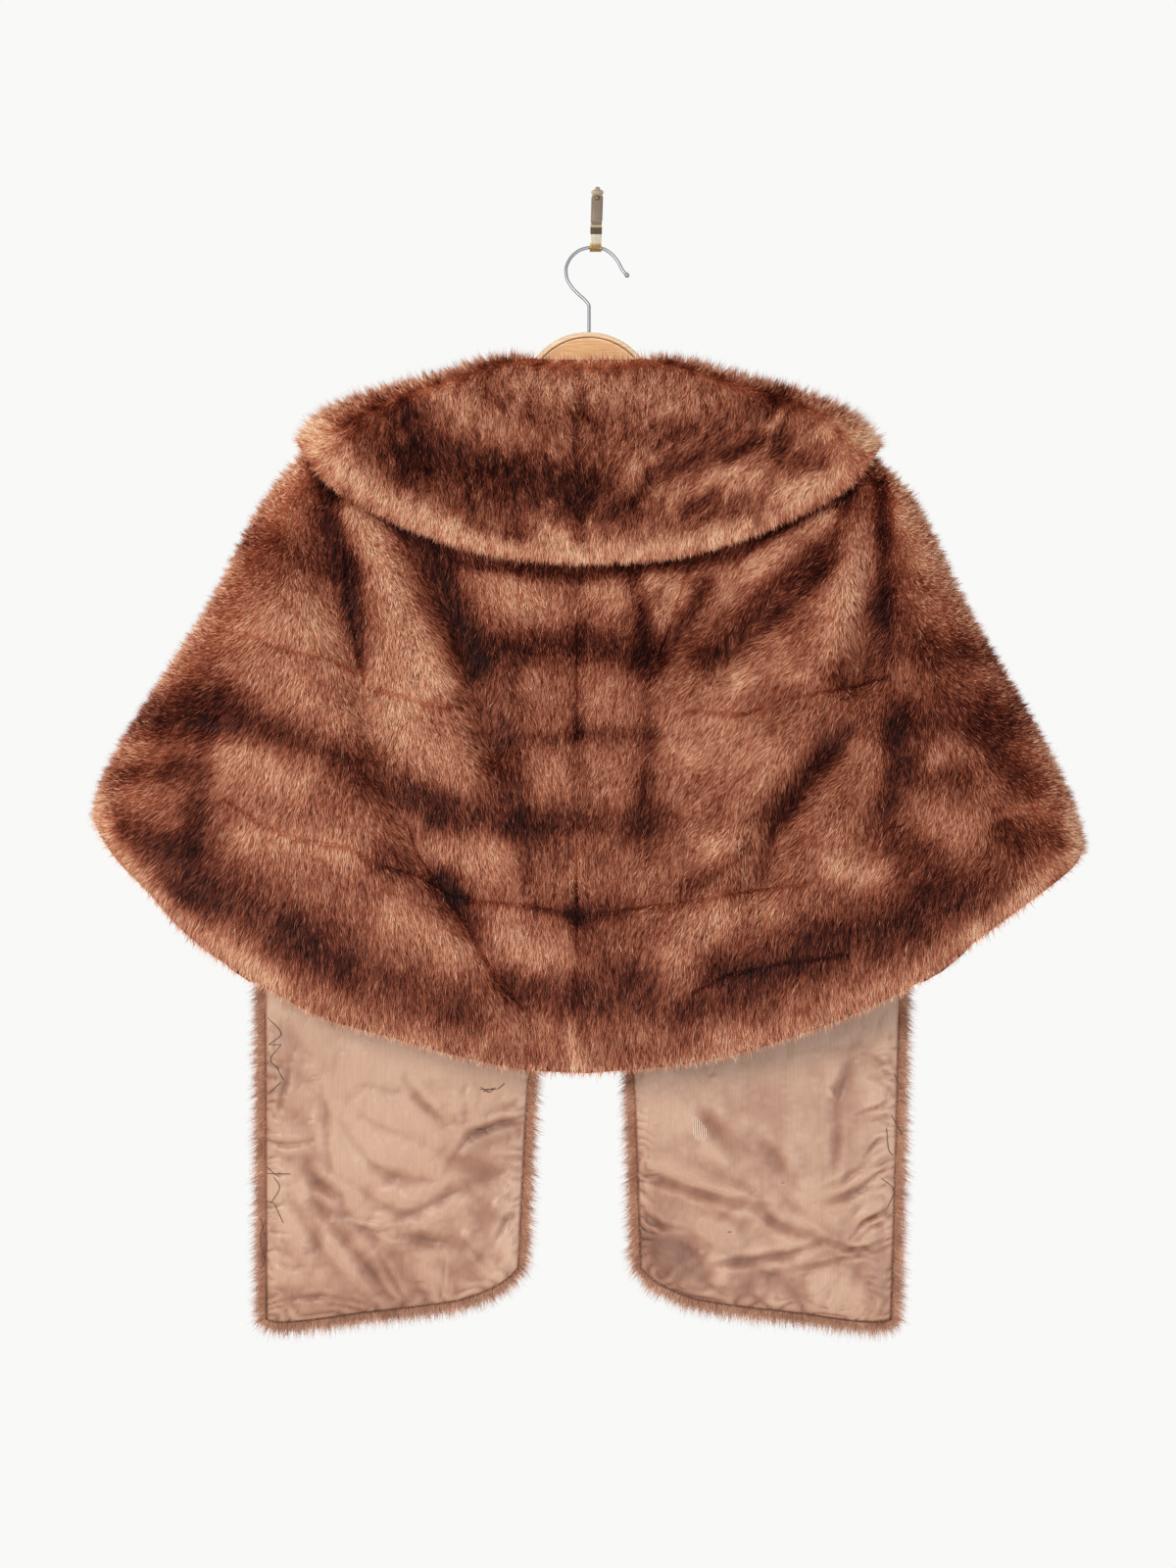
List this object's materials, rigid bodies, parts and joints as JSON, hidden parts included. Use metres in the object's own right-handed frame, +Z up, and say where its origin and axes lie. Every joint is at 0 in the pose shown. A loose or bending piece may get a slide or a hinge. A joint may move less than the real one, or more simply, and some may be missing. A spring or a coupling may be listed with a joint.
{
  "type": "mink cape on wooden hanger with brass wall hook",
  "caption": "Brown mink cape with a wide collar and long stole ends, seen from the back, on a wooden hanger that hangs on a brass wall hook.",
  "frame": {"origin": "middle of the wall hook's flat back face, level with the strip's straight part, on the wall", "axes": "+Z up, the object's longest way; +Y into the wall, out of the hook's back face; +X to the right as the viewer sees the cape's back"},
  "size_m": [0.8918, 0.1056, 1.0436],
  "materials": {
    "mink_fur": "long soft nap",
    "collar_mink_fur": "long soft nap",
    "satin_lining": "satin, soft sheen",
    "beech": "varnished, satin",
    "zinc_plated_steel": "zinc plated, dull",
    "brass": "worn, brushed"
  },
  "bodies": {
    "root": {"fur_back_upper_left": "mink_fur", "fur_back_middle_left": "mink_fur", "fur_back_lower_left": "mink_fur", "fur_side_left": "mink_fur", "fur_panel_left": "mink_fur", "fur_collar_left": "collar_mink_fur", "fur_lapel_left": "collar_mink_fur", "lining_back_left": "satin_lining", "lining_side_left": "satin_lining", "lining_panel_left": "satin_lining", "fur_back_upper_right": "mink_fur", "fur_back_middle_right": "mink_fur", "fur_back_lower_right": "mink_fur", "fur_side_right": "mink_fur", "fur_panel_right": "mink_fur", "fur_collar_right": "collar_mink_fur", "fur_lapel_right": "collar_mink_fur", "lining_back_right": "satin_lining", "lining_side_right": "satin_lining", "lining_panel_right": "satin_lining", "hanger_wood": "beech", "hanger_hook": "zinc_plated_steel", "wall_hook": "brass", "wall_pin": "brass"}
  },
  "joints": []
}
